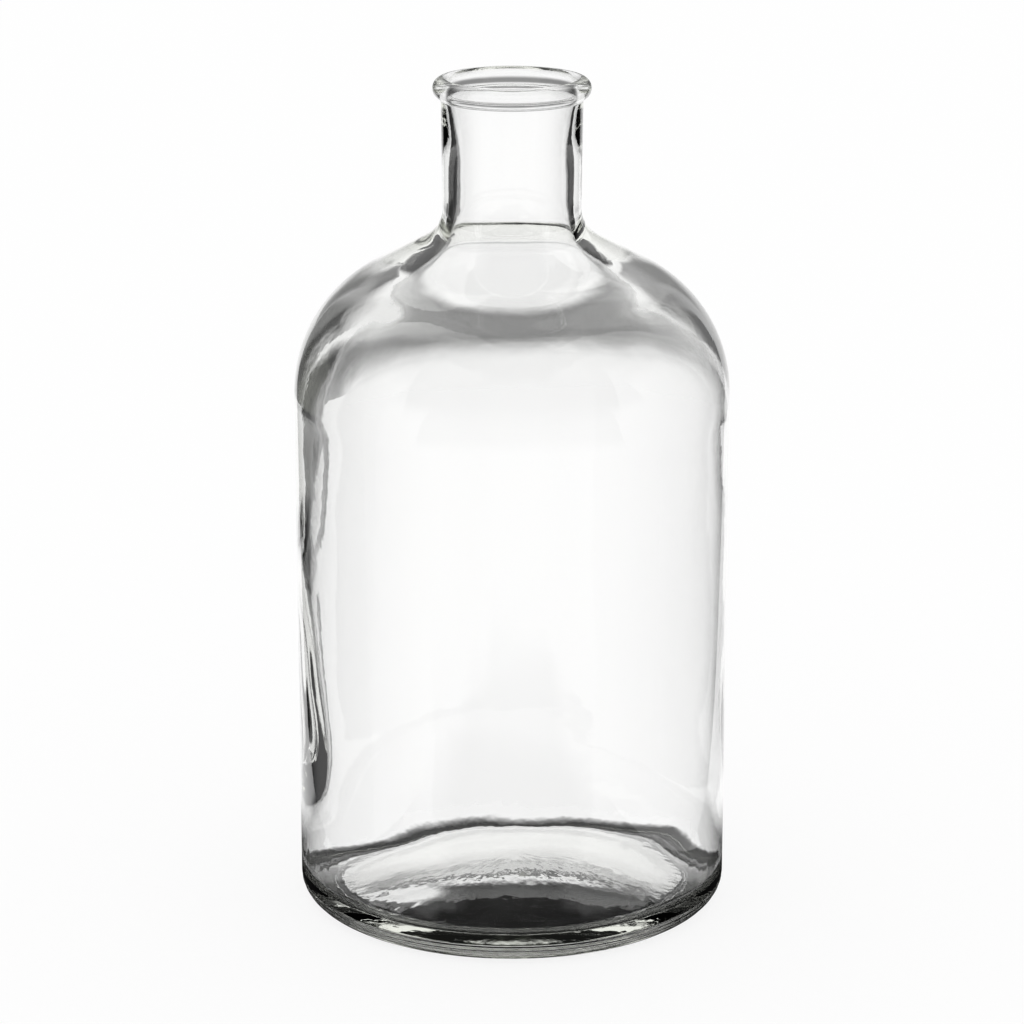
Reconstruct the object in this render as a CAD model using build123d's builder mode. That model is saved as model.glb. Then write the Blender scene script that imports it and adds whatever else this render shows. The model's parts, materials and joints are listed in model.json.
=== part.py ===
"""A clear glass bottle vase: one blown shell with a pushed-up base, a round shoulder,
a straight neck and a rolled rim. Millimetres, +Z up, origin at the middle of the foot."""

from build123d import *

import math
import os

os.makedirs("parts", exist_ok=True)

# Overall form
height = 280.0
body_radius = 72.2
neck_length = 49.8  # from the rim down to where the neck's line meets the shoulder's
neck_top_radius = 23.2
neck_foot_radius = 22.6

# Outer curves
heel_radius = 7.5
shoulder_radius = 47.5
shoulder_slope = 28.0  # degrees
neck_fillet = 12.0

# Rolled rim
rim_radius = 25.9
bead_radius = 3.45
under_bead_fillet = 1.0
mouth_radius = 20.8
lip_fillet = 1.4

# Glass thickness: thin in the body, heavy in the shoulder and the base, where blown glass gathers
body_wall = 3.2
shoulder_wall = 10.5
base_thickness = 7.2  # at the base's edge, before the inner heel is rounded

# Inner curves
floor_rise = 16.0  # how far the middle of the domed inside floor stands above its edge
inner_heel_radius = 4.2
inner_shoulder_middle = 27.0  # how far from the axis the centre of the shoulder's inner arc lies
inner_neck_fillet = 34.0
bore_radius = 18.2
flare_start = 24.0  # how far below the rim the bore begins to open towards the mouth
flare_end = 7.0
flare_fillet = 5.8

# Underside
foot_inner_radius = 53.5
foot_step = 1.6
foot_step_fillet = 0.6
push_up = 10.0  # how far the middle of the domed underside stands above the step

# One overrun for every cut that runs out past a surface
overrun = 5.0

slope_rise = math.tan(math.radians(shoulder_slope))
shoulder_drop = shoulder_wall / math.cos(math.radians(shoulder_slope))
neck_foot_height = height - neck_length
shoulder_height = neck_foot_height - (body_radius - neck_foot_radius) * slope_rise
bead_height = height - bead_radius
inner_radius = body_radius - body_wall
inner_shoulder_radius = inner_radius - inner_shoulder_middle


def inner_slope_height(radius):
    """Height of the shoulder's inner face, before its ends are rounded."""
    return neck_foot_height - (radius - neck_foot_radius) * slope_rise - shoulder_drop


def dome_bend(edge_radius, rise):
    """Radius of the arc that leaves the axis level and falls by the rise on its way to the edge."""
    return (edge_radius**2 + rise**2) / (2 * rise)


def corner(sketch, radius, level):
    """The corner of a section nearest to this radius and height."""
    return sketch.vertices().sort_by_distance((radius, level))[0]


# Bottle: the outer form, then the blown cavity, then the push-up under the base
with BuildPart() as bottle:
    with BuildSketch(Plane.XZ) as outer_form:
        with BuildLine():
            Polyline(
                (0, 0),
                (body_radius, 0),
                (body_radius, shoulder_height),
                (neck_foot_radius, neck_foot_height),
                (neck_top_radius, bead_height),
                (0, bead_height),
                close=True,
            )
        make_face()
        with Locations((rim_radius - bead_radius, bead_height)):
            Circle(bead_radius)
        fillet(corner(outer_form, body_radius, 0), heel_radius)
        fillet(corner(outer_form, body_radius, shoulder_height), shoulder_radius)
        fillet(corner(outer_form, neck_foot_radius, neck_foot_height), neck_fillet)
        fillet(corner(outer_form, neck_top_radius, bead_height - bead_radius), under_bead_fillet)
    revolve(axis=Axis.Z)

    with BuildSketch(Plane.XZ) as cavity:
        floor_top = base_thickness + floor_rise
        floor_edge = (inner_radius, base_thickness)
        floor_middle = (0, floor_top)
        with BuildLine():
            RadiusArc(floor_middle, floor_edge, dome_bend(inner_radius, floor_rise))
            Polyline(
                floor_edge,
                (inner_radius, inner_slope_height(inner_radius)),
                (bore_radius, inner_slope_height(bore_radius)),
                (bore_radius, height - flare_start),
                (mouth_radius, height - flare_end),
                (mouth_radius, height + overrun),
                (0, height + overrun),
                floor_middle,
            )
        make_face()
        fillet(corner(cavity, *floor_edge), inner_heel_radius)
        fillet(corner(cavity, inner_radius, inner_slope_height(inner_radius)), inner_shoulder_radius)
        fillet(corner(cavity, bore_radius, inner_slope_height(bore_radius)), inner_neck_fillet)
        fillet(corner(cavity, bore_radius, height - flare_start), flare_fillet)
        fillet(corner(cavity, mouth_radius, height - flare_end), flare_fillet)
    revolve(axis=Axis.Z, mode=Mode.SUBTRACT)

    with BuildSketch(Plane.XZ) as underside:
        push_up_top = foot_step + push_up
        push_up_middle = (0, push_up_top)
        push_up_edge = (foot_inner_radius, foot_step)
        with BuildLine():
            RadiusArc(push_up_middle, push_up_edge, dome_bend(foot_inner_radius, push_up))
            Polyline(
                push_up_edge,
                (foot_inner_radius, -overrun),
                (0, -overrun),
                push_up_middle,
            )
        make_face()
    revolve(axis=Axis.Z, mode=Mode.SUBTRACT)

    foot_edges = bottle.edges().filter_by(GeomType.CIRCLE).group_by(Axis.Z)
    fillet(foot_edges[0].sort_by(SortBy.RADIUS)[0], foot_step_fillet)
    fillet(bottle.edges().filter_by(GeomType.CIRCLE).sort_by(Axis.Z)[-1], lip_fillet)

bottle.part.label = "glass_bottle"
export_step(bottle.part, "parts/glass_bottle.step")
print("glass volume", round(bottle.part.volume / 1000, 1), "cubic centimetres")
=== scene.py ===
"""A clear glass bottle vase on a pale floor, lit as bright-field glass is: white behind it
and dark at its sides and overhead, with painted shadow under its foot, so that its edges draw themselves."""

import json
import math
from collections import namedtuple

import bpy
from bpy.props import FloatProperty, FloatVectorProperty, IntProperty, PointerProperty
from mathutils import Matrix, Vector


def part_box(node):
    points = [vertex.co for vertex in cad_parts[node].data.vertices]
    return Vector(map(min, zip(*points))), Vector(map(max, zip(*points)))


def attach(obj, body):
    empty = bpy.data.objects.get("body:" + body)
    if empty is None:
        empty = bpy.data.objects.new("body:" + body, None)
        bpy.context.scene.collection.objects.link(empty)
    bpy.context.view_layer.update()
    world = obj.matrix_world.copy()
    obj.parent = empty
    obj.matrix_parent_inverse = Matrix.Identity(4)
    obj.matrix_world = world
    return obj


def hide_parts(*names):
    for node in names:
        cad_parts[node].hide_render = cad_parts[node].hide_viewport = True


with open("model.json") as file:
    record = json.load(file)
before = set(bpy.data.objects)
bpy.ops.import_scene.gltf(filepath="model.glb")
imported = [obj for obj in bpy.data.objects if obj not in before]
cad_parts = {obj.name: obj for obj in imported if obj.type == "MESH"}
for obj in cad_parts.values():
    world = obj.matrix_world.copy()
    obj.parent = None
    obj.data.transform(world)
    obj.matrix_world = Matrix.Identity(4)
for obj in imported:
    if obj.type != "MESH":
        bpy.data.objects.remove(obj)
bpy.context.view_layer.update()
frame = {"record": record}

bl_info = {
    "name": "Glass Bottle Vase",
    "version": (1, 0, 0),
    "blender": (4, 5, 0),
    "location": "3D View > Sidebar > Vase",
    "description": "Builds a clear glass bottle vase and the small studio that it stands in",
    "category": "Add Mesh",
}

MM = 0.001
GLASS_NODE = "glass_bottle"
TOP_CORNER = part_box(GLASS_NODE)[1]
MOUNTS = {mount["name"]: mount for mount in frame["record"]["mounts"]}

# Spacing of the half section's points, close where the glass bends sharply or is stippled
UNDERSIDE_SPACING = 1.5 * MM
FOOT_SPACING = 0.6 * MM
FOOT_ROUND_SPACING = 0.3 * MM
HEEL_SPACING = 0.42 * MM
CURVE_SPACING = 3 * MM
OUTER_WALL_SPACING = 12 * MM
HOLLOW_SPACING = 0.2 * MM
BEAD_SPACING = 0.4 * MM
LIP_SPACING = 0.25 * MM
INNER_WALL_SPACING = 5 * MM
INNER_HEEL_SPACING = 0.6 * MM
INNER_FLOOR_SPACING = 2.5 * MM
LARGEST_TURN = math.radians(7.5)
WELD_DISTANCE = 0.001 * MM

# Fades of the inner face's unevenness: by depth under the rim, by height at the neck and above the floor
RIM_FADE = (10 * MM, 20 * MM)
NECK_FADE = (190 * MM, 225 * MM)
WALL_FADE = (30 * MM, 46 * MM)

# The stipple covers the foot ring and a little inwards of it, and inside the bottle the floor's outer edge.
# A point up to the margin past the underside still counts as on it
RING_OVERLAP = 3 * MM
INNER_EDGE_RADIUS = 56 * MM
INNER_EDGE_HEIGHT = 20 * MM
UNDERSIDE_MARGIN = 1 * MM

# Inputs of the tree that blows the bottle, each with its kind
TREE_INPUTS = (
    ("Section", "Geometry"),
    ("Rows", "Int"),
    ("Segments", "Int"),
    ("Eccentric", "Float"),
    ("Wave", "Float"),
    ("Wave size", "Float"),
    ("Seed", "Float"),
    ("Stipple", "Float"),
    ("Grain", "Float"),
    ("Glass", "Material"),
)

# Heavy places of the wall. Each turn is in degrees from the right-hand side
Lump = namedtuple("Lump", "height turn half_height half_width depth")
LUMPS = (
    Lump(height=86 * MM, turn=183, half_height=18 * MM, half_width=14 * MM, depth=3.0 * MM),
    Lump(height=58 * MM, turn=188, half_height=20 * MM, half_width=18 * MM, depth=4.0 * MM),
    Lump(height=140 * MM, turn=180, half_height=15 * MM, half_width=10 * MM, depth=1.2 * MM),
    Lump(height=176 * MM, turn=188, half_height=40 * MM, half_width=60 * MM, depth=2.0 * MM),
    Lump(height=64 * MM, turn=1, half_height=13 * MM, half_width=9 * MM, depth=1.8 * MM),
)

WHITE = (1, 1, 1, 1)

# The floor
FLOOR_HALF = 3.0
FLOOR_GAP = 0.2 * MM

# The level of the wings and of the painted shadow under the foot where they are darkest. Each fade goes from
# its first place to its second
CARD_LEVEL = 0.01

# The wings. Each has a name, a side, an angle in degrees and a level at its near end
WINGS = (("wing_left", -1, 20, 0.8), ("wing_right", 1, 26, 1.0))
WING_ASIDE = 100 * MM
WING_NEAR = -60 * MM
WING_BEND = -20 * MM
WING_LENGTH = 900 * MM
WING_HEIGHT = 1.2
WING_NEAR_FADE = (WING_NEAR, 90 * MM)
WING_FAR_FADE = (330 * MM, 740 * MM)
WING_TOP_FADE = (240 * MM, 275 * MM)
WING_UPPER_FADE = (245 * MM, 310 * MM)
WING_UPPER_START = (40 * MM, 130 * MM)

# The slat
SLAT_BEHIND = 400 * MM
SLAT_HALF = 410 * MM
SLAT_LOWER_FADE = (190 * MM, 270 * MM)
SLAT_UPPER_FADE = (330 * MM, 440 * MM)
SLAT_LEFT_FADE = (-285 * MM, -215 * MM)
SLAT_RIGHT_FADE = (190 * MM, 250 * MM)
SLAT_END_FADE = (-200 * MM, -150 * MM)
SLAT_END_TOP = (340 * MM, 370 * MM)
SLAT_END_SHARE = 0.25

# The front card
FRONT_AHEAD = -600 * MM
FRONT_HALF = 900 * MM
FRONT_TOP = 900 * MM
FRONT_FADE = (120 * MM, 400 * MM)
FRONT_LEVEL = 0.1

# The painted shadow card under the vase, which only the glass sees. Its dark is painted shadow under the
# front of the push-up, in a ring round the foot and in front of the vase. Its window is a painted pale place
# in x and y, and its patch a painted grey one
SHADOW_MAT_RADIUS = 160 * MM
SHADOW_MAT_STEPS = 48
SHADOW_MAT_DROP = 0.1 * MM
SHADOW_MAT_NEAR_FADE = (-320 * MM, -160 * MM)
SHADOW_MAT_SIDE_FADE = (55 * MM, 100 * MM)
SHADOW_MAT_SIDE_START = (-130 * MM, -80 * MM)
SHADOW_MAT_BACK_FADE = (30 * MM, 50 * MM)
SHADOW_MAT_RING_FADE = (54 * MM, 60 * MM)
SHADOW_MAT_OUTER_FADE = (82 * MM, 122 * MM)
SHADOW_MAT_WINDOW = (-46 * MM, 22 * MM)
SHADOW_MAT_WINDOW_HALF = (24 * MM, 28 * MM)
SHADOW_MAT_WINDOW_EDGE = (0.8, 1.1)
SHADOW_MAT_PATCH = (50 * MM, 22 * MM)
SHADOW_MAT_PATCH_RADIUS = 14 * MM
SHADOW_MAT_PATCH_LEVEL = 0.5

# The camera: its lens and sensor in millimetres, its place in metres and its dip in degrees
CAMERA_LENS = 130.44
CAMERA_SENSOR = 36
CAMERA_PLACE = (0, -1193.9 * MM, 478.6 * MM)
CAMERA_DIP = 16.129

# How many times light may bounce on its way through the glass, and off it
GLASS_BOUNCES = 32
GLOSS_BOUNCES = 16


# Properties


def length(name, description, default):
    """A property for a length in metres."""
    return FloatProperty(name=name, description=description, default=default, unit="LENGTH", precision=5)


def share(name, description, default):
    """A property for a share from nothing to all."""
    return FloatProperty(name=name, description=description, default=default, min=0, max=1, subtype="FACTOR")


def angle(name, description, degrees):
    """A property for an angle."""
    return FloatProperty(name=name, description=description, default=math.radians(degrees), unit="ROTATION")


def colour(name, description, default):
    """A property for a colour."""
    return FloatVectorProperty(name=name, description=description, default=default, subtype="COLOR")


class VASE_PG_form(bpy.types.PropertyGroup):
    """The outer form of the bottle."""

    height: length("Height", "From the foot to the top of the rim", TOP_CORNER.z)
    body_radius: length("Body radius", "Radius of the straight body", TOP_CORNER.x)
    neck_length: length("Neck length", "From the rim down to the line of the shoulder", 49.8 * MM)
    neck_top_radius: length("Neck top radius", "Radius of the neck under the rim", 23.2 * MM)
    neck_foot_radius: length("Neck foot radius", "Radius of the neck at the shoulder", 22.6 * MM)
    neck_fillet: length("Neck fillet", "Hollow curve from the shoulder into the neck", 12.0 * MM)
    shoulder_radius: length("Shoulder radius", "Round of the shoulder", 47.5 * MM)
    shoulder_slope: angle("Shoulder slope", "Fall of the shoulder beside the neck", 28)
    heel_radius: length("Heel radius", "Round from the body into the foot", 7.5 * MM)
    rim_radius: length("Rim radius", "Outer radius of the rolled rim", 25.9 * MM)
    bead_radius: length("Bead radius", "Round of the rolled rim's section", 3.45 * MM)
    under_bead_fillet: length("Under-bead fillet", "Hollow curve under the rim", 1.0 * MM)
    lip_fillet: length("Lip fillet", "Round from the top of the rim into the mouth", 1.6 * MM)
    ridge: length("Heel ridge", "Depth of the fine grooves round the heel", 0.25 * MM)
    ridge_pitch: length("Ridge pitch", "From one groove of the heel to the next", 1.7 * MM)
    foot_inner_radius: length("Foot inner radius", "Inner edge of the ring that it stands on", 53.5 * MM)
    foot_step: length("Foot step", "Height of the step inside the foot ring", 1.6 * MM)
    foot_step_fillet: length("Foot step fillet", "Round of the foot ring's inner edge", 0.6 * MM)
    push_up: length("Push-up", "Rise of the underside's middle above the step", 10.0 * MM)
    segments: IntProperty(name="Segments", description="Steps of the skin round the bottle", default=320)


class VASE_PG_wall(bpy.types.PropertyGroup):
    """How thick the glass is, and how uneven."""

    body: length("Body wall", "Mean thickness of the body's wall", 3.2 * MM)
    shoulder: length("Shoulder wall", "Thickness of the sloping shoulder", 10.5 * MM)
    base: length("Base", "Thickness of the base at its edge", 7.2 * MM)
    floor_rise: length("Floor rise", "Rise of the inside floor's middle", 16.0 * MM)
    heel: length("Inner heel", "Round from the inside floor into the wall", 4.2 * MM)
    shoulder_round: length("Inner shoulder", "Round of the shoulder's inner face", 42.0 * MM)
    neck_fillet: length("Inner neck fillet", "Curve from the shoulder's inner face into the bore", 34.0 * MM)
    bore_radius: length("Bore radius", "Radius of the neck's bore", MOUNTS["neck_bore"]["dims"]["r_mm"] * MM)
    mouth_radius: length("Mouth radius", "Radius of the bore at the rim", 20.8 * MM)
    flare_start: length("Flare start", "Depth below the rim where the bore begins to open", 24.0 * MM)
    flare_end: length("Flare end", "Depth below the rim where the mouth is fully open", 7.0 * MM)
    flare_fillet: length("Flare fillet", "Round at the upper end of the flare", 5.8 * MM)
    flare_ease: length("Flare ease", "Long round at the lower end of the flare", 80.0 * MM)
    eccentric: length("Eccentric", "How much thicker than its mean the wall is on the left", 1.0 * MM)
    wave: length("Wave", "Height of the slow waves on the inner face", 0.5 * MM)
    wave_size: length("Wave size", "Length of the slow waves on the inner face", 40.0 * MM)
    stipple: length("Stipple", "Depth of the stipple on the foot ring", 0.3 * MM)
    grain: length("Grain", "Size of the stipple's grains", 1.8 * MM)
    grain_share: share("Grain share", "How much of the stipple's depth the push-up has", 0.12)
    seed: IntProperty(name="Seed", description="Picks one pattern of waves and grains", default=3)


class VASE_PG_glass(bpy.types.PropertyGroup):
    """The look of the glass."""

    ior: FloatProperty(name="Index of refraction", description="Of soda-lime glass", default=1.52)
    depth_colour: colour("Depth colour", "Colour of light that has gone far through it", (0.87, 0.89, 0.80))
    depth_density: FloatProperty(name="Depth density", description="Absorption for each metre", default=6.0)
    fine_grain: length("Fine grain", "Depth of the fine grain of the underside", 0.2 * MM)
    fine_grain_size: length("Fine grain size", "Size of the fine grain of the underside", 1.0 * MM)
    ripple: length("Ripple", "Height of the fine ripples in the glass", 0.01 * MM)
    ripple_size: length("Ripple size", "Length of the fine ripples in the glass", 5 * MM)


class VASE_PG_studio(bpy.types.PropertyGroup):
    """The light and the greys of the studio."""

    fill: FloatProperty(name="Fill", description="Strength of the soft light on the floor", default=1.0)
    light_end: angle("Light end", "Height at which the white room begins to darken", 29)
    ceiling_start: angle("Ceiling start", "Height at which the ceiling has its full darkness", 41)
    ceiling_level: share("Ceiling level", "Brightness of the ceiling", 0.03)
    slat_level: share("Slat level", "Brightness of the slat behind the vase", 0.26)
    floor_colour: colour("Floor colour", "Colour of the floor", (0.96, 0.96, 0.96))
    floor_white: share("Floor white", "How much of the floor's shadow is lost where it is seen", 0.85)


# Node trees as expressions


class Wire:
    """One output of a node. Python's operators on it add Math nodes to its tree."""

    def __init__(self, nodes, socket):
        self.nodes = nodes
        self.socket = socket

    def output(self, name):
        """Another output of the same node."""
        return Wire(self.nodes, self.socket.node.outputs[name])

    def __add__(self, other):
        return self.nodes.math("ADD", self, other)

    def __radd__(self, other):
        return self.nodes.math("ADD", other, self)

    def __sub__(self, other):
        return self.nodes.math("SUBTRACT", self, other)

    def __rsub__(self, other):
        return self.nodes.math("SUBTRACT", other, self)

    def __mul__(self, other):
        return self.nodes.math("MULTIPLY", self, other)

    def __rmul__(self, other):
        return self.nodes.math("MULTIPLY", other, self)

    def __truediv__(self, other):
        return self.nodes.math("DIVIDE", self, other)

    def __rtruediv__(self, other):
        return self.nodes.math("DIVIDE", other, self)


class Nodes:
    """Fills one node tree, with one call for each node."""

    def __init__(self, tree):
        self.tree = tree
        tree.nodes.clear()

    def add(self, kind, settings=None, sockets=None, output=0):
        """Adds a node. Its settings are set before its sockets get their values or links."""
        node = self.tree.nodes.new(kind)
        for name, value in (settings or {}).items():
            setattr(node, name, value)
        for name, value in (sockets or {}).items():
            if isinstance(value, Wire):
                self.tree.links.new(value.socket, node.inputs[name])
            else:
                node.inputs[name].default_value = value
        return Wire(self, node.outputs[output]) if node.outputs else node

    def attribute(self, name, kind):
        """What a named attribute holds at each point."""
        return self.add("GeometryNodeInputNamedAttribute", {"data_type": kind}, {"Name": name})

    def math(self, operation, *values):
        """One Math node."""
        return self.add("ShaderNodeMath", {"operation": operation}, dict(enumerate(values)))

    def largest(self, first, *others):
        """The largest of some values."""
        for other in others:
            first = self.math("MAXIMUM", first, other)
        return first

    def distance(self, x, y):
        """How far the spot (x, y) is from (0, 0)."""
        return self.math("SQRT", x * x + y * y)

    def vector(self, x, y, z):
        """A vector from its three parts."""
        return self.add("ShaderNodeCombineXYZ", sockets={"X": x, "Y": y, "Z": z})

    def parts(self, vector):
        """The three parts of a vector."""
        split = self.add("ShaderNodeSeparateXYZ", sockets={0: vector})
        return tuple(split.output(axis) for axis in "XYZ")

    def ramp(self, value, low, high, start=0.0, end=1.0):
        """Goes smoothly from start to end while value goes from low to high."""
        return self.add(
            "ShaderNodeMapRange",
            {"interpolation_type": "SMOOTHSTEP"},
            {"Value": value, "From Min": low, "From Max": high, "To Min": start, "To Max": end},
        )

    def noise(self, place, scale, detail=2.0, roughness=0.5, seed=0.0):
        """Soft noise about zero, from -1 to 1."""
        found = self.add(
            "ShaderNodeTexNoise",
            {"noise_dimensions": "4D"},
            {"Vector": place, "W": seed, "Scale": scale, "Detail": detail, "Roughness": roughness},
        )
        return found * 2 - 1


# The half section of the glass, as (radius, height) points


def arc(centre, radius, start, end, spacing):
    """Points on an arc from one angle to another, in degrees, no further apart than spacing."""
    turn = math.radians(end - start)
    steps = max(math.ceil(abs(turn) * radius / spacing), math.ceil(abs(turn) / LARGEST_TURN))
    angles = [math.radians(start) + turn * step / steps for step in range(steps + 1)]
    return [(centre[0] + radius * math.cos(a), centre[1] + radius * math.sin(a)) for a in angles]


def rounded(corners, spacing):
    """Points along a line through (radius, height, rounding) corners, with the corners rounded off."""
    points = []
    for index, (x, y, rounding) in enumerate(corners):
        if not rounding:
            points.append((x, y))
            continue
        into = math.atan2(y - corners[index - 1][1], x - corners[index - 1][0])
        out_of = math.atan2(corners[index + 1][1] - y, corners[index + 1][0] - x)
        turn = (out_of - into + math.pi) % (2 * math.pi) - math.pi
        side = math.copysign(math.pi / 2, turn)
        reach = rounding * math.tan(abs(turn) / 2)
        start = (x - reach * math.cos(into), y - reach * math.sin(into))
        centre = (start[0] + rounding * math.cos(into + side), start[1] + rounding * math.sin(into + side))
        first = math.degrees(into - side)
        points += arc(centre, rounding, first, first + math.degrees(turn), spacing)
    return points


def filled_in(points, spacing):
    """The same line with its long runs divided."""
    filled = points[:1]
    for here, there in zip(points, points[1:]):
        steps = max(1, math.ceil(math.dist(here, there) / spacing))
        for step in range(1, steps + 1):
            along = step / steps
            filled.append(tuple(a + (b - a) * along for a, b in zip(here, there)))
    return filled


def cap_bend(radius, rise):
    """Radius of the ball that a cap of this radius and rise is cut from."""
    return (radius**2 + rise**2) / (2 * rise)


def grooved_heel(form):
    """The heel's round, with fine grooves that run round the bottle."""
    centre = (form.body_radius - form.heel_radius, form.heel_radius)
    heel = []
    for x, y in arc(centre, form.heel_radius, -90, 0, HEEL_SPACING):
        turn = math.atan2(y - centre[1], x - centre[0])
        grooves = math.tau * (turn + math.pi / 2) * form.heel_radius / form.ridge_pitch
        radius = form.heel_radius - form.ridge * (1 - math.cos(grooves)) / 2
        heel.append((centre[0] + radius * math.cos(turn), centre[1] + radius * math.sin(turn)))
    return heel


def rolled_rim(form):
    """The hollow under the rim and the bead, up to its top. Its first point lies on the neck."""
    bead_centre = (form.rim_radius - form.bead_radius, form.height - form.bead_radius)
    hollow_side = form.neck_top_radius + form.under_bead_fillet - bead_centre[0]
    hollow_drop = math.sqrt((form.bead_radius + form.under_bead_fillet) ** 2 - hollow_side**2)
    hollow_centre = (bead_centre[0] + hollow_side, bead_centre[1] - hollow_drop)
    lean = math.degrees(math.atan2(hollow_drop, hollow_side))
    hollow = arc(hollow_centre, form.under_bead_fillet, 180, 180 - lean, HOLLOW_SPACING)
    bead = arc(bead_centre, form.bead_radius, -lean, 90, BEAD_SPACING)
    return hollow + bead[1:]


def outer_section(form):
    """The outer face, from the middle of the underside to the top of the rim."""
    neck_foot_height = form.height - form.neck_length
    shoulder_run = form.body_radius - form.neck_foot_radius
    shoulder_height = neck_foot_height - shoulder_run * math.tan(form.shoulder_slope)
    bend = cap_bend(form.foot_inner_radius, form.push_up)
    turn = math.degrees(math.asin(form.foot_inner_radius / bend))
    bend_centre = (0, form.foot_step + form.push_up - bend)
    underside = arc(bend_centre, bend, 90, 90 - turn, UNDERSIDE_SPACING)
    foot = rounded(
        [
            (form.foot_inner_radius, form.foot_step, 0),
            (form.foot_inner_radius, 0, form.foot_step_fillet),
            (form.body_radius - form.heel_radius, 0, 0),
        ],
        FOOT_ROUND_SPACING,
    )
    rim = rolled_rim(form)
    body = rounded(
        [
            (form.body_radius, form.heel_radius, 0),
            (form.body_radius, shoulder_height, form.shoulder_radius),
            (form.neck_foot_radius, neck_foot_height, form.neck_fillet),
            (form.neck_top_radius, rim[0][1], 0),
        ],
        CURVE_SPACING,
    )[1:]
    return (
        underside
        + filled_in(foot, FOOT_SPACING)[1:-1]
        + grooved_heel(form)
        + filled_in(body, OUTER_WALL_SPACING)[:-1]
        + rim
    )


def inner_section(form, wall):
    """The inner face, from the top of the rim down to the middle of the inside floor."""
    slope = math.tan(form.shoulder_slope)
    drop = wall.shoulder / math.cos(form.shoulder_slope)
    radius = form.body_radius - wall.body

    def slope_height(r):
        return form.height - form.neck_length - (r - form.neck_foot_radius) * slope - drop

    lip_centre = (wall.mouth_radius + form.lip_fillet, form.height - form.lip_fillet)
    lip = arc(lip_centre, form.lip_fillet, 90, 180, LIP_SPACING)
    bend = cap_bend(radius, wall.floor_rise)
    bend_centre = (0, wall.base + wall.floor_rise - bend)
    heel_radius = radius - wall.heel
    heel_height = bend_centre[1] + math.sqrt((bend + wall.heel) ** 2 - heel_radius**2)
    meet = math.degrees(math.atan2(heel_height - bend_centre[1], heel_radius))
    inside = rounded(
        [
            (wall.mouth_radius, form.height - form.lip_fillet, 0),
            (wall.mouth_radius, form.height - wall.flare_end, wall.flare_fillet),
            (wall.bore_radius, form.height - wall.flare_start, wall.flare_ease),
            (wall.bore_radius, slope_height(wall.bore_radius), wall.neck_fillet),
            (radius, slope_height(radius), wall.shoulder_round),
            (radius, heel_height, 0),
        ],
        CURVE_SPACING,
    )[1:]
    heel = arc((heel_radius, heel_height), wall.heel, 0, meet - 180, INNER_HEEL_SPACING)
    floor = arc(bend_centre, bend, meet, 90, INNER_FLOOR_SPACING)
    return lip + filled_in(inside, INNER_WALL_SPACING) + heel[1:] + floor[1:]


# The bottle


def mesh_object(name, points, edges=(), faces=()):
    """A new object that holds a mesh, in the scene."""
    mesh = bpy.data.meshes.new(name)
    mesh.from_pydata(points, edges, faces)
    made = bpy.data.objects.new(name, mesh)
    bpy.context.scene.collection.objects.link(made)
    return made


def wave_share(form, z):
    """How much of the inner face's waves a height has: none of them in the lip."""
    depth = form.height - z
    return min(1.0, max(0.0, (depth - RIM_FADE[0]) / (RIM_FADE[1] - RIM_FADE[0])))


def stipple_share(form, wall, r, z, inner):
    """How much of the stipple a point has: all by the foot ring, in and out, and a little on the push-up."""
    if inner:
        return 1.0 if z < INNER_EDGE_HEIGHT and r > INNER_EDGE_RADIUS else 0.0
    push_up_top = form.push_up + form.foot_step
    heel_start = form.body_radius - form.heel_radius
    if z >= push_up_top + UNDERSIDE_MARGIN or r >= heel_start + UNDERSIDE_MARGIN:
        return 0.0
    return 1.0 if r > form.foot_inner_radius - RING_OVERLAP else wall.grain_share


def section_object(form, wall):
    """The half section as a line of edges. Its points hold which way is out of the glass, and two shares."""
    outer = outer_section(form)
    section = outer + inner_section(form, wall)[1:]
    made = mesh_object(
        "blown_bottle",
        [(r, 0, z) for r, z in section],
        [(index, index + 1) for index in range(len(section) - 1)],
    )
    inner_share = made.data.attributes.new("inner", "FLOAT", "POINT")
    under_share = made.data.attributes.new("under", "FLOAT", "POINT")
    away = made.data.attributes.new("away", "FLOAT_VECTOR", "POINT")
    for index, (r, z) in enumerate(section):
        before = section[max(index - 1, 0)]
        after = section[min(index + 1, len(section) - 1)]
        run = math.dist(before, after)
        away.data[index].vector = ((after[1] - before[1]) / run, 0, -(after[0] - before[0]) / run)
        inner = index >= len(outer)
        inner_share.data[index].value = wave_share(form, z) if inner else 0.0
        under_share.data[index].value = stipple_share(form, wall, r, z, inner)
    return made


def heavy_place(nodes, lump, radius, height, turn):
    """How much thicker one lump makes the wall. It fades with the distance up and round the wall."""
    along = (height - lump.height) / lump.half_height
    across = radius * nodes.math("COSINE", turn - math.radians(lump.turn))
    round_squared = (radius - across) * 2 * radius
    fall = 0 - along * along - round_squared / lump.half_width**2
    return lump.depth * nodes.math("EXPONENT", fall)


def extra_glass(nodes, given, spot, radius, height, turn):
    """How much thicker than its section the wall is, with its waves, its heavier side and its lumps."""
    wave_scale = 1 / given.output("Wave size")
    waves = nodes.noise(spot, wave_scale, detail=2, roughness=0.4, seed=given.output("Seed"))
    east = nodes.math("COSINE", turn)
    thinner_right = given.output("Eccentric") * east * nodes.ramp(height, *NECK_FADE, 1.0, 0.0)
    thicker = given.output("Wave") * waves - thinner_right
    for lump in LUMPS:
        thicker = thicker + heavy_place(nodes, lump, radius, height, turn)
    return thicker


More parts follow.
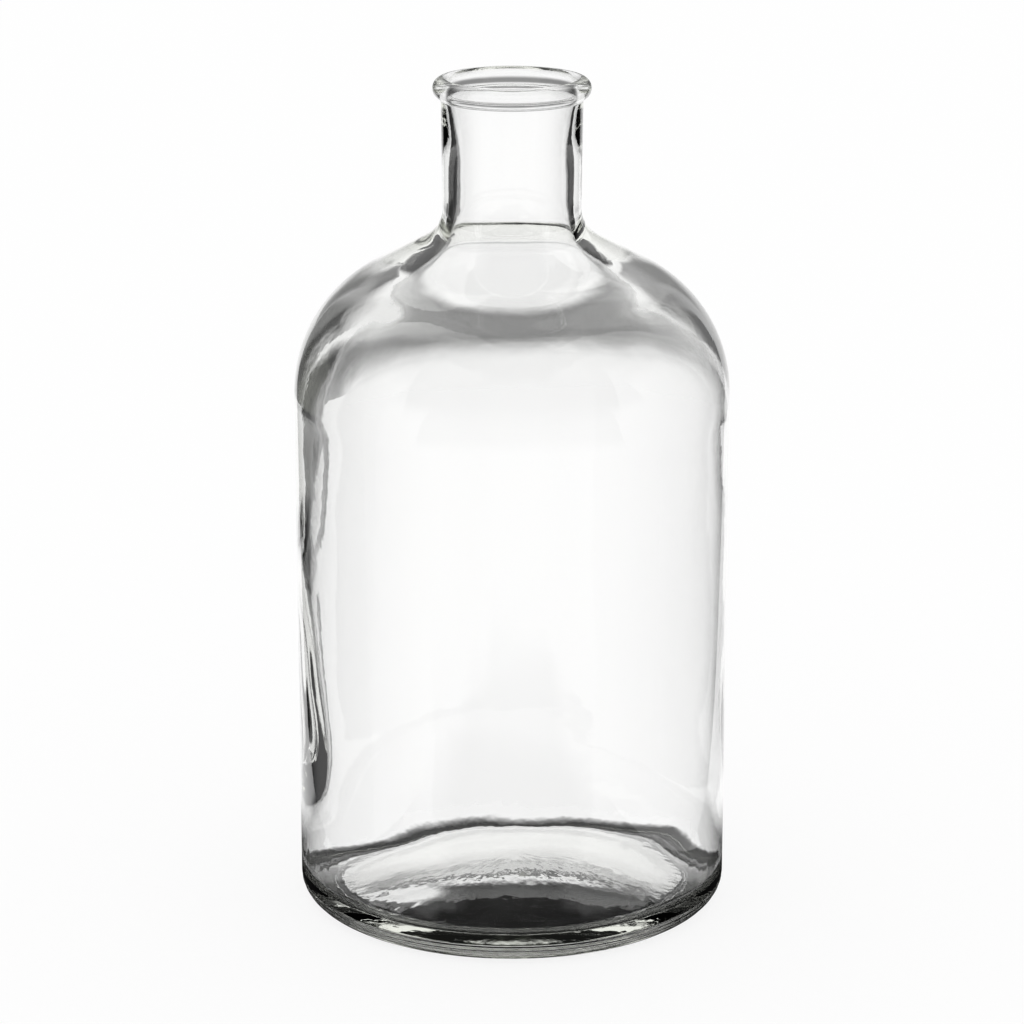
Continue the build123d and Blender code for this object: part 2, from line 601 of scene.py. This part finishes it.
def closed_skin(nodes, grid, moved, under, glass):
    """The grid in its new place, with its seam and poles welded, and made of glass."""
    turned = nodes.add("GeometryNodeSetPosition", sockets={"Geometry": grid, "Position": moved})
    marked = nodes.add(
        "GeometryNodeStoreNamedAttribute",
        {"data_type": "FLOAT", "domain": "POINT"},
        {"Geometry": turned, "Name": "under", "Value": under},
    )
    welded = nodes.add("GeometryNodeMergeByDistance", sockets={"Geometry": marked, "Distance": WELD_DISTANCE})
    outward = nodes.add("GeometryNodeFlipFaces", sockets={"Mesh": welded})
    smooth = nodes.add("GeometryNodeSetShadeSmooth", sockets={"Geometry": outward, "Shade Smooth": True})
    real = nodes.add("GeometryNodeRealizeInstances", sockets={"Geometry": smooth})
    return nodes.add("GeometryNodeSetMaterial", sockets={"Geometry": real, "Material": glass})


def revolve_tree():
    """Turns a half section about the upright axis, and gives its faces the unevenness of blown glass."""
    tree = bpy.data.node_groups.new("blown_glass", "GeometryNodeTree")
    tree.interface.new_socket("Geometry", in_out="OUTPUT", socket_type="NodeSocketGeometry")
    for name, kind in TREE_INPUTS:
        tree.interface.new_socket(name, in_out="INPUT", socket_type="NodeSocket" + kind)
    nodes = Nodes(tree)
    given = nodes.add("NodeGroupInput")
    rows, segments = given.output("Rows"), given.output("Segments")
    grid = nodes.add(
        "GeometryNodeMeshGrid",
        sockets={"Size X": rows - 1, "Size Y": segments, "Vertices X": rows, "Vertices Y": segments + 1},
    )
    position = nodes.add("GeometryNodeInputPosition")
    grid_x, grid_y, _ = nodes.parts(position)
    row = nodes.math("ROUND", grid_x + (rows - 1) / 2)
    turn = nodes.math("ROUND", grid_y + segments / 2) / segments * math.tau

    def from_section(value, kind):
        """Reads a value of the section's point that this row of the grid stands for."""
        return nodes.add(
            "GeometryNodeSampleIndex",
            {"data_type": kind, "domain": "POINT"},
            {"Geometry": given.output("Section"), "Value": value, "Index": row},
        )

    radius, _, height = nodes.parts(from_section(position, "FLOAT_VECTOR"))
    away_x, _, away_z = nodes.parts(from_section(nodes.attribute("away", "FLOAT_VECTOR"), "FLOAT_VECTOR"))
    inner = from_section(nodes.attribute("inner", "FLOAT"), "FLOAT")
    under = from_section(nodes.attribute("under", "FLOAT"), "FLOAT")
    east, north = nodes.math("COSINE", turn), nodes.math("SINE", turn)
    spot = nodes.vector(radius * east, radius * north, height)

    thicker = extra_glass(nodes, given, spot, radius, height, turn)
    grain = nodes.noise(spot, 1 / given.output("Grain"), detail=1, seed=given.output("Seed"))
    stipple = given.output("Stipple") * under * nodes.math("ABSOLUTE", grain)
    push = thicker * nodes.ramp(height, *WALL_FADE) * inner - stipple
    new_radius = radius + away_x * push
    moved = nodes.vector(new_radius * east, new_radius * north, height + away_z * push)
    skin = closed_skin(nodes, grid, moved, under, given.output("Glass"))
    nodes.add("NodeGroupOutput", sockets={"Geometry": skin})
    return tree


def as_plain_mesh(made):
    """Swaps an object's mesh for what its modifiers make of it, and removes them."""
    graph = bpy.context.evaluated_depsgraph_get()
    mesh = bpy.data.meshes.new_from_object(made.evaluated_get(graph))
    mesh.name = made.name
    made.modifiers.clear()
    made.data = mesh


def blown_bottle(form, wall, glass):
    """The whole bottle as one closed skin of glass."""
    made = section_object(form, wall)
    modifier = made.modifiers.new("revolve", "NODES")
    modifier.node_group = revolve_tree()
    values = {
        "Rows": len(made.data.vertices),
        "Segments": form.segments,
        "Eccentric": wall.eccentric,
        "Wave": wall.wave,
        "Wave size": wall.wave_size,
        "Seed": float(wall.seed),
        "Stipple": wall.stipple,
        "Grain": wall.grain,
        "Glass": glass,
    }
    for item in modifier.node_group.interface.items_tree:
        if item.name in values:
            modifier[item.identifier] = values[item.name]
    as_plain_mesh(made)
    return made


def new_material(name):
    """A new material, and the nodes to fill it with."""
    material = bpy.data.materials.new(name)
    material.use_nodes = True
    return material, Nodes(material.node_tree)


def glass_material(look):
    """Clear soda-lime glass, with a slight green where the light goes far through it."""
    material, nodes = new_material("clear_glass")
    spot = nodes.add("ShaderNodeTexCoord", output="Object")
    ripple = look.ripple * nodes.noise(spot, 1 / look.ripple_size)
    under = nodes.add("ShaderNodeAttribute", {"attribute_name": "under"}, output="Fac")
    fine = look.fine_grain * nodes.noise(spot, 1 / look.fine_grain_size, detail=1)
    relief = ripple + fine * under
    bump = nodes.add("ShaderNodeBump", sockets={"Strength": 1.0, "Distance": 1.0, "Height": relief})
    shader = nodes.add(
        "ShaderNodeBsdfPrincipled",
        sockets={
            "Base Color": WHITE,
            "Roughness": 0.0,
            "IOR": look.ior,
            "Transmission Weight": 1.0,
            "Normal": bump,
        },
    )
    depth = nodes.add(
        "ShaderNodeVolumeAbsorption",
        sockets={"Color": (*look.depth_colour, 1), "Density": look.depth_density},
    )
    nodes.add("ShaderNodeOutputMaterial", sockets={"Surface": shader, "Volume": depth})
    return material


class VASE_OT_bottle(bpy.types.Operator):
    """Blow the glass bottle"""

    bl_idname = "vase.bottle"
    bl_label = "Glass bottle"

    def execute(self, context):
        scene = context.scene
        glass = glass_material(scene.vase_glass)
        bottle = blown_bottle(scene.vase_form, scene.vase_wall, glass)
        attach(bottle, "root")
        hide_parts(GLASS_NODE)
        return {"FINISHED"}


# The studio


def white_where_seen(nodes, rays):
    """1 for a ray that shows the background: from the camera, off a gloss or through the glass."""
    kinds = ("Is Camera Ray", "Is Glossy Ray", "Is Transmission Ray")
    return nodes.largest(*(rays.output(kind) for kind in kinds))


def white_room(studio):
    """White walls under a dark ceiling that only the glass sees. The camera sees only white."""
    world = bpy.data.worlds.new("white_room")
    world.use_nodes = True
    nodes = Nodes(world.node_tree)
    rays = nodes.add("ShaderNodeLightPath")
    seen = white_where_seen(nodes, rays)
    _, _, height = nodes.parts(nodes.add("ShaderNodeTexCoord", output="Generated"))
    darkening = (math.sin(studio.light_end), math.sin(studio.ceiling_start))
    room = nodes.ramp(height, *darkening, 1.0, studio.ceiling_level)
    direct = rays.output("Is Camera Ray")
    strength = seen * (direct + (1 - direct) * room) + (1 - seen) * studio.fill
    light = nodes.add("ShaderNodeBackground", sockets={"Color": WHITE, "Strength": strength})
    nodes.add("ShaderNodeOutputWorld", sockets={"Surface": light})
    bpy.context.scene.world = world


def pale_floor(studio):
    """A wide floor, white where it is seen, that keeps a soft shadow."""
    corners = [(x * FLOOR_HALF, y * FLOOR_HALF, -FLOOR_GAP) for x, y in ((-1, -1), (1, -1), (1, 1), (-1, 1))]
    floor = mesh_object("floor", corners, faces=[(0, 1, 2, 3)])
    material, nodes = new_material("pale_floor")
    seen = white_where_seen(nodes, nodes.add("ShaderNodeLightPath"))
    paint = nodes.add("ShaderNodeBsdfDiffuse", sockets={"Color": (*studio.floor_colour, 1)})
    white = nodes.add("ShaderNodeEmission", sockets={"Color": WHITE, "Strength": 1.0})
    mixed = nodes.add("ShaderNodeMixShader", sockets={0: seen * studio.floor_white, 1: paint, 2: white})
    nodes.add("ShaderNodeOutputMaterial", sockets={"Surface": mixed})
    floor.data.materials.append(material)


def card(name, points, faces, turntable, shade):
    """A card that shows only in the glass. It gives off the level that shade makes of its own X, Y and Z."""
    made = mesh_object(name, points, faces=faces)
    material, nodes = new_material(name)
    level = shade(nodes, *nodes.parts(nodes.add("ShaderNodeTexCoord", output="Object")))
    light = nodes.add("ShaderNodeEmission", sockets={"Color": WHITE, "Strength": level})
    nodes.add("ShaderNodeOutputMaterial", sockets={"Surface": light})
    made.data.materials.append(material)
    made.visible_camera = False
    made.visible_diffuse = False
    made.visible_shadow = False
    made.parent = turntable


def upright_card(name, half_width, y, bottom, top, turntable, shade):
    """A card that stands straight across the view."""
    around = ((-half_width, bottom), (half_width, bottom), (half_width, top), (-half_width, top))
    corners = [(x, y, z) for x, z in around]
    card(name, corners, [(0, 1, 2, 3)], turntable, shade)


def black_wing(name, side, degrees, near_level, turntable):
    """Stands beside the vase and runs back along one edge of the white behind it. Both its ends fade."""

    def shade(nodes, x, y, z):
        near_low = nodes.ramp(z, *WING_TOP_FADE, near_level, CARD_LEVEL)
        near = nodes.ramp(y, *WING_NEAR_FADE, near_low, CARD_LEVEL)
        far = nodes.ramp(y, *WING_FAR_FADE, CARD_LEVEL, 1.0)
        upper = nodes.ramp(z, *WING_UPPER_FADE) * nodes.ramp(y, *WING_UPPER_START)
        return nodes.largest(near, far, upper)

    far_aside = WING_ASIDE + WING_LENGTH * math.sin(math.radians(degrees))
    far_back = WING_BEND + WING_LENGTH * math.cos(math.radians(degrees))
    line = [(side * WING_ASIDE, WING_NEAR), (side * WING_ASIDE, WING_BEND), (side * far_aside, far_back)]
    points = [(x, y, z) for z in (-SHADOW_MAT_DROP, WING_HEIGHT) for x, y in line]
    card(name, points, [(0, 1, 4, 3), (1, 2, 5, 4)], turntable, shade)


def grey_slat(slat_level, turntable):
    """Hangs level behind the vase, for the grey band that the shoulder shows, and is darkest at the left."""

    def shade(nodes, x, y, z):
        below = nodes.ramp(z, *SLAT_LOWER_FADE, 1.0, slat_level)
        above = nodes.ramp(z, *SLAT_UPPER_FADE, slat_level, 1.0)
        end = nodes.ramp(x, *SLAT_END_FADE, 1.0, 0.0) * nodes.ramp(z, *SLAT_END_TOP, 1.0, 0.0)
        level = nodes.largest(below, above) * (1 - end * (1 - SLAT_END_SHARE))
        past_left = nodes.ramp(x, *SLAT_LEFT_FADE, 1.0, 0.0)
        past_right = nodes.ramp(x, *SLAT_RIGHT_FADE)
        return nodes.largest(level, past_left, past_right)

    bottom, top = SLAT_LOWER_FADE[0], SLAT_UPPER_FADE[1]
    upright_card("slat", SLAT_HALF, SLAT_BEHIND, bottom, top, turntable, shade)


def front_card(turntable):
    """Stands across the front, for what the rim, the heel and the neck's sides reflect."""

    def shade(nodes, x, y, z):
        return nodes.ramp(z, *FRONT_FADE, 1.0, FRONT_LEVEL)

    upright_card("front", FRONT_HALF, FRONT_AHEAD, FRONT_FADE[0], FRONT_TOP, turntable, shade)


def painted_shadow_mat(turntable):
    """Lies under the vase and in front of it, dark with painted shadow, and pale with painted light in places
    that show through the base.
    """

    def shade(nodes, x, y, z):
        # Painted shadow: dark under the front of the push-up, in a ring round the foot and in front of the
        # vase. The window and the patch are painted light
        away = nodes.distance(x, y)
        behind = nodes.ramp(y, *SHADOW_MAT_BACK_FADE)
        off_window = nodes.distance(
            (x - SHADOW_MAT_WINDOW[0]) / SHADOW_MAT_WINDOW_HALF[0],
            (y - SHADOW_MAT_WINDOW[1]) / SHADOW_MAT_WINDOW_HALF[1],
        )
        painted_pale = nodes.ramp(off_window, *SHADOW_MAT_WINDOW_EDGE, 1.0, 0.0)
        off_patch = nodes.distance(x - SHADOW_MAT_PATCH[0], y - SHADOW_MAT_PATCH[1])
        painted_grey = nodes.ramp(off_patch, 0, SHADOW_MAT_PATCH_RADIUS, SHADOW_MAT_PATCH_LEVEL, 0.0)
        under_push_up = nodes.ramp(away, *SHADOW_MAT_RING_FADE, 1.0, 0.0)
        inside = nodes.largest(behind, painted_pale, painted_grey) * under_push_up
        outside = nodes.ramp(away, *SHADOW_MAT_OUTER_FADE) * behind
        near = nodes.ramp(y, *SHADOW_MAT_NEAR_FADE, 1.0, CARD_LEVEL)
        beside = nodes.ramp(nodes.math("ABSOLUTE", x), *SHADOW_MAT_SIDE_FADE)
        side = beside * nodes.ramp(y, *SHADOW_MAT_SIDE_START, 1.0, 0.0)
        return nodes.largest(inside, outside, near, side)

    turns = [math.pi * step / SHADOW_MAT_STEPS for step in range(SHADOW_MAT_STEPS + 1)]
    back = [(SHADOW_MAT_RADIUS * math.cos(turn), SHADOW_MAT_RADIUS * math.sin(turn)) for turn in turns]
    near_end = SHADOW_MAT_NEAR_FADE[0]
    line = back + [(-WING_ASIDE, 0), (-WING_ASIDE, near_end), (WING_ASIDE, near_end), (WING_ASIDE, 0)]
    card("mat_painted_shadow", [(x, y, -SHADOW_MAT_DROP) for x, y in line], [range(len(line))], turntable, shade)


def photograph_camera():
    """A long lens that looks down on the vase as the photograph does."""
    data = bpy.data.cameras.new("camera")
    data.lens = CAMERA_LENS
    data.sensor_width = CAMERA_SENSOR
    camera = bpy.data.objects.new("camera", data)
    camera.location = CAMERA_PLACE
    camera.rotation_euler = (math.radians(90 - CAMERA_DIP), 0, 0)
    bpy.context.scene.collection.objects.link(camera)
    bpy.context.scene.camera = camera
    return camera


def turntable_for(camera):
    """What the cards stand on. It turns about Z as the camera does, as if only the vase were turned."""
    turntable = bpy.data.objects.new("turntable", None)
    bpy.context.scene.collection.objects.link(turntable)
    turns = turntable.constraints.new("COPY_ROTATION")
    turns.target = camera
    turns.use_x = turns.use_y = False
    return turntable


class VASE_OT_studio(bpy.types.Operator):
    """Build the floor, the white room, the cards and the camera"""

    bl_idname = "vase.studio"
    bl_label = "Studio"

    def execute(self, context):
        scene = context.scene
        scene.view_settings.view_transform = "Standard"
        scene.cycles.max_bounces = GLASS_BOUNCES
        scene.cycles.transmission_bounces = GLASS_BOUNCES
        scene.cycles.glossy_bounces = GLOSS_BOUNCES
        studio = scene.vase_studio
        camera = photograph_camera()
        white_room(studio)
        pale_floor(studio)
        turntable = turntable_for(camera)
        for wing in WINGS:
            black_wing(*wing, turntable)
        front_card(turntable)
        grey_slat(studio.slat_level, turntable)
        # Painted shadow under the vase's foot, with painted pale places, that only the glass shows
        painted_shadow_mat(turntable)
        return {"FINISHED"}


class VASE_PT_panel(bpy.types.Panel):
    """The vase's build steps, its sizes and its looks."""

    bl_idname = "VASE_PT_panel"
    bl_label = "Glass bottle vase"
    bl_space_type = "VIEW_3D"
    bl_region_type = "UI"
    bl_category = "Vase"

    def draw(self, context):
        for operator in OPERATORS:
            self.layout.operator(operator.bl_idname)
        for group_name in GROUPS:
            group = getattr(context.scene, group_name)
            box = self.layout.box()
            for name in group.__annotations__:
                box.prop(group, name)


OPERATORS = (VASE_OT_bottle, VASE_OT_studio)
GROUPS = {
    "vase_form": VASE_PG_form,
    "vase_wall": VASE_PG_wall,
    "vase_glass": VASE_PG_glass,
    "vase_studio": VASE_PG_studio,
}


def register():
    for made in (*GROUPS.values(), *OPERATORS, VASE_PT_panel):
        bpy.utils.register_class(made)
    for name, group in GROUPS.items():
        setattr(bpy.types.Scene, name, PointerProperty(type=group))


def unregister():
    for name in GROUPS:
        delattr(bpy.types.Scene, name)
    for made in reversed((*GROUPS.values(), *OPERATORS, VASE_PT_panel)):
        bpy.utils.unregister_class(made)


def main():
    register()
    bpy.ops.vase.bottle()
    bpy.ops.vase.studio()


if __name__ == "__main__":
    main()
